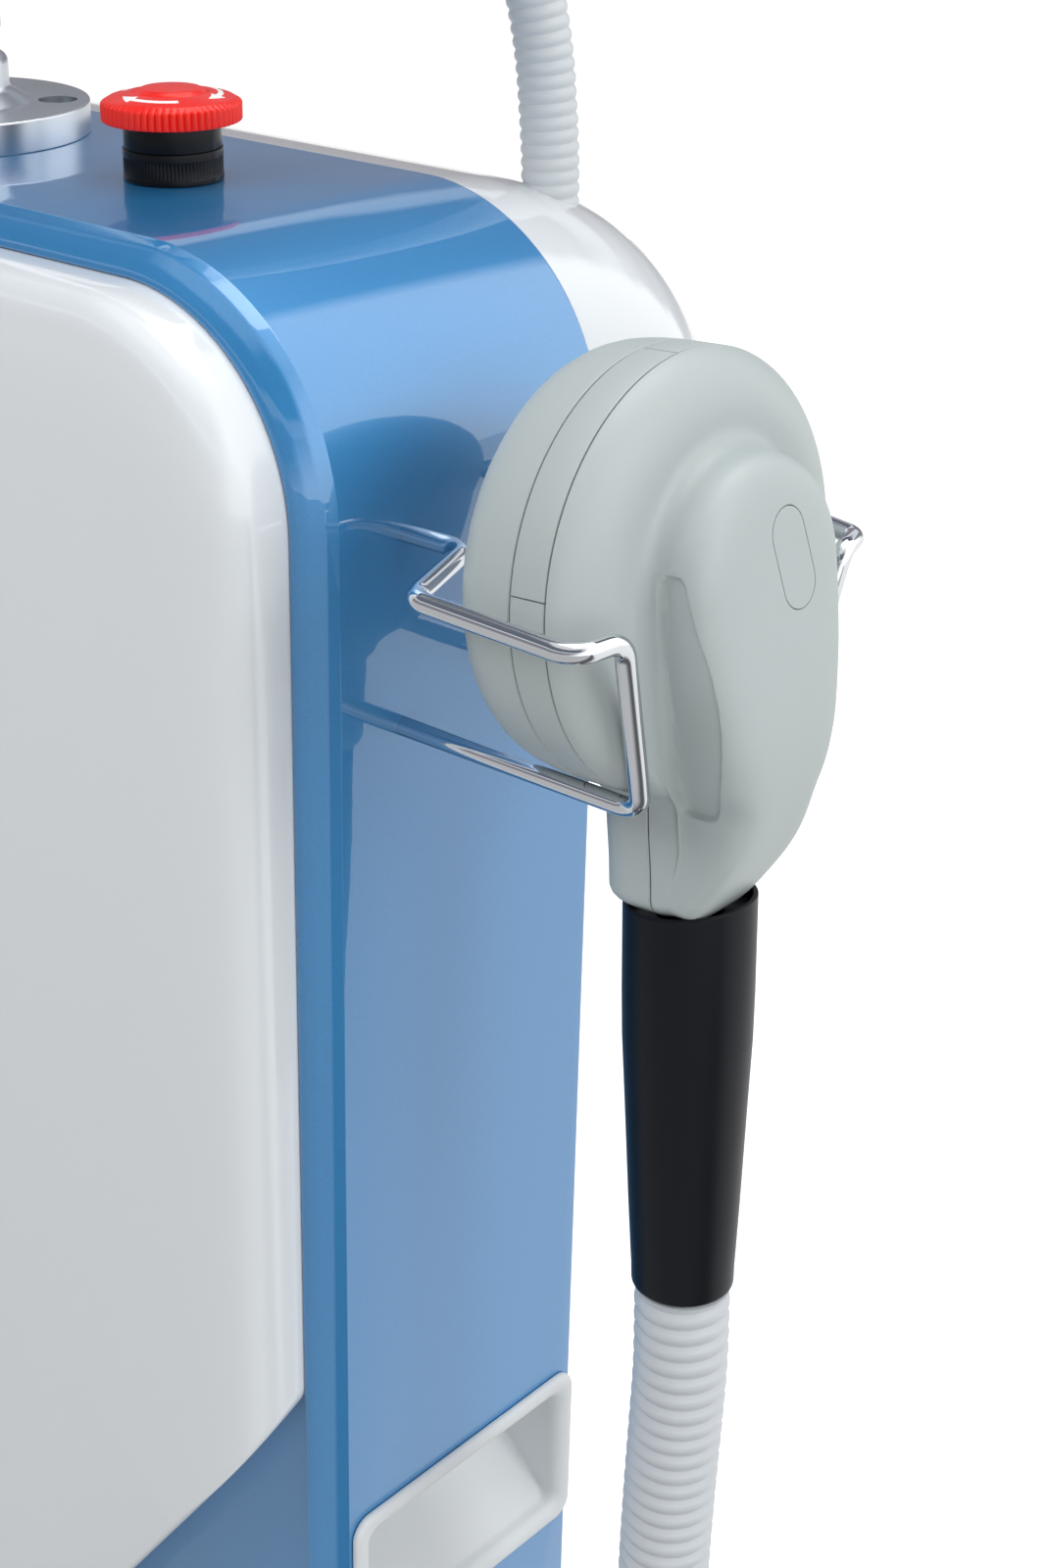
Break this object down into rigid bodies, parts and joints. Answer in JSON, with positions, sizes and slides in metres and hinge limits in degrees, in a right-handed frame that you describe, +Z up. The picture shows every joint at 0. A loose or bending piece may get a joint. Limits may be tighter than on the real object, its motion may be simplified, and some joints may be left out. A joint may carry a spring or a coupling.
{
  "type": "mobile therapy tower",
  "caption": "Slim arch-shaped cabinet on castors with a swivelling screen, a red emergency stop, a recessed grip each side and a round hand applicator on a hose in a wire holder.",
  "frame": {"origin": "centre of the object's bounding box at floor level, hoses left out", "axes": "+Z up, +X to the side of the applicator, -Y to the front with the screen's face"},
  "size_m": [0.5884, 0.33, 1.2763],
  "materials": {
    "blue_paint": "gloss",
    "white_gloss": "gloss",
    "blue_panel": "gloss",
    "grip_white": "satin",
    "base_dark": "satin",
    "alloy": "brushed",
    "steel": "satin",
    "bright_wire": "mirror",
    "red_plastic": "gloss",
    "black_plastic": "satin",
    "paddle_grey": "matte",
    "hose_grey": "satin",
    "copper_wire": "satin",
    "screen_black": "gloss",
    "board_green": "satin",
    "tyre_grey": "satin"
  },
  "bodies": {
    "cabinet": {"arch_shell": "blue_paint", "front_cover": "white_gloss", "lower_front_panel": "blue_panel", "rear_hood": "white_gloss", "rear_housing": "white_gloss", "service_panel": "white_gloss", "chassis_frame": "steel", "base_plinth": "base_dark", "right_grip": "grip_white", "left_grip": "grip_white", "arm_flange": "alloy", "flange_screws": "steel", "stop_body": "black_plastic", "stop_collar": "black_plastic", "stop_contacts": "black_plastic", "front_holder_wire": "bright_wire", "rear_holder_wire": "bright_wire", "holder_nuts": "steel", "applicator_hose": "hose_grey", "hose_cuff": "base_dark", "hose_gland": "base_dark", "screen_conduit": "hose_grey", "conduit_gland": "base_dark", "power_supply": "alloy", "capacitor_bank": "alloy", "control_board": "board_green", "coolant_pump": "base_dark", "fan_frame": "black_plastic", "mains_inlet": "black_plastic"},
    "stop_plunger": {"stop_stem": "black_plastic"},
    "stop_cap": {"stop_head": "red_plastic"},
    "arm": {"arm_column": "alloy", "conduit_socket": "base_dark", "tilt_pin": "steel"},
    "screen": {"screen_bracket": "base_dark", "screen_case": "white_gloss", "screen_glass": "screen_black"},
    "applicator": {"applicator_back_shell": "paddle_grey", "applicator_front_shell": "paddle_grey", "rim_belt": "paddle_grey", "rim_hatch": "paddle_grey", "coil_winding": "copper_wire", "coil_core": "base_dark", "handle_sleeve": "black_plastic"},
    "trigger": {"trigger_button": "paddle_grey"},
    "fan": {"cooling_fan": "black_plastic"},
    "rocker": {"power_rocker": "red_plastic"},
    "front_left_castor": {"front_left_fork": "steel", "front_left_axle": "steel"},
    "front_left_roller": {"front_left_wheel": "tyre_grey"},
    "front_right_castor": {"front_right_fork": "steel", "front_right_axle": "steel"},
    "front_right_roller": {"front_right_wheel": "tyre_grey"},
    "rear_left_castor": {"rear_left_fork": "steel", "rear_left_axle": "steel"},
    "rear_left_roller": {"rear_left_wheel": "tyre_grey"},
    "rear_right_castor": {"rear_right_fork": "steel", "rear_right_axle": "steel"},
    "rear_right_roller": {"rear_right_wheel": "tyre_grey"}
  },
  "joints": [
    {"name": "stop_press", "type": "slide", "parent": "cabinet", "child": "stop_plunger", "axis": [0, 0, -1], "range_m": [0, 0.004], "stiffness_N_per_m": 1200, "springref_m": -0.002},
    {"name": "stop_twist", "type": "hinge", "parent": "stop_plunger", "child": "stop_cap", "pos_m": [0.04908, -0.015, 0.97], "axis": [0, 0, -1], "range_deg": [0, 45], "stiffness_Nm_per_rad": 0.05, "springref_deg": -11.46},
    {"name": "arm_swivel", "type": "hinge", "parent": "cabinet", "child": "arm", "pos_m": [-0.05092, -0.015, 0.98], "axis": [0, 0, 1], "range_deg": [-30, 30]},
    {"name": "screen_tilt", "type": "hinge", "parent": "arm", "child": "screen", "pos_m": [-0.05092, -0.015, 1.138], "axis": [1, 0, 0], "range_deg": [-25, 20]},
    {"name": "applicator_lift", "type": "slide", "parent": "cabinet", "child": "applicator", "axis": [0, 0, 1], "range_m": [0, 0.12]},
    {"name": "trigger_press", "type": "slide", "parent": "applicator", "child": "trigger", "axis": [-0.9981, 0, -0.061], "range_m": [0, 0.001], "stiffness_N_per_m": 800, "springref_m": -0.001},
    {"name": "fan_spin", "type": "hinge", "parent": "cabinet", "child": "fan", "pos_m": [-0.05092, 0.088, 0.535], "axis": [0, 1, 0], "continuous": true},
    {"name": "rocker_flip", "type": "hinge", "parent": "cabinet", "child": "rocker", "pos_m": [-0.09762, 0.097, 0.178], "axis": [1, 0, 0], "range_deg": [-12, 0]},
    {"name": "front_left_swivel", "type": "hinge", "parent": "cabinet", "child": "front_left_castor", "pos_m": [-0.21592, -0.12, 0.09], "axis": [0, 0, 1], "continuous": true},
    {"name": "front_left_roll", "type": "hinge", "parent": "front_left_castor", "child": "front_left_roller", "pos_m": [-0.21592, -0.095, 0.0375], "axis": [1, 0, 0], "continuous": true},
    {"name": "front_right_swivel", "type": "hinge", "parent": "cabinet", "child": "front_right_castor", "pos_m": [0.11408, -0.12, 0.09], "axis": [0, 0, 1], "continuous": true},
    {"name": "front_right_roll", "type": "hinge", "parent": "front_right_castor", "child": "front_right_roller", "pos_m": [0.11408, -0.095, 0.0375], "axis": [1, 0, 0], "continuous": true},
    {"name": "rear_left_swivel", "type": "hinge", "parent": "cabinet", "child": "rear_left_castor", "pos_m": [-0.21592, 0.101, 0.09], "axis": [0, 0, 1], "continuous": true},
    {"name": "rear_left_roll", "type": "hinge", "parent": "rear_left_castor", "child": "rear_left_roller", "pos_m": [-0.21592, 0.126, 0.0375], "axis": [1, 0, 0], "continuous": true},
    {"name": "rear_right_swivel", "type": "hinge", "parent": "cabinet", "child": "rear_right_castor", "pos_m": [0.11408, 0.101, 0.09], "axis": [0, 0, 1], "continuous": true},
    {"name": "rear_right_roll", "type": "hinge", "parent": "rear_right_castor", "child": "rear_right_roller", "pos_m": [0.11408, 0.126, 0.0375], "axis": [1, 0, 0], "continuous": true}
  ]
}
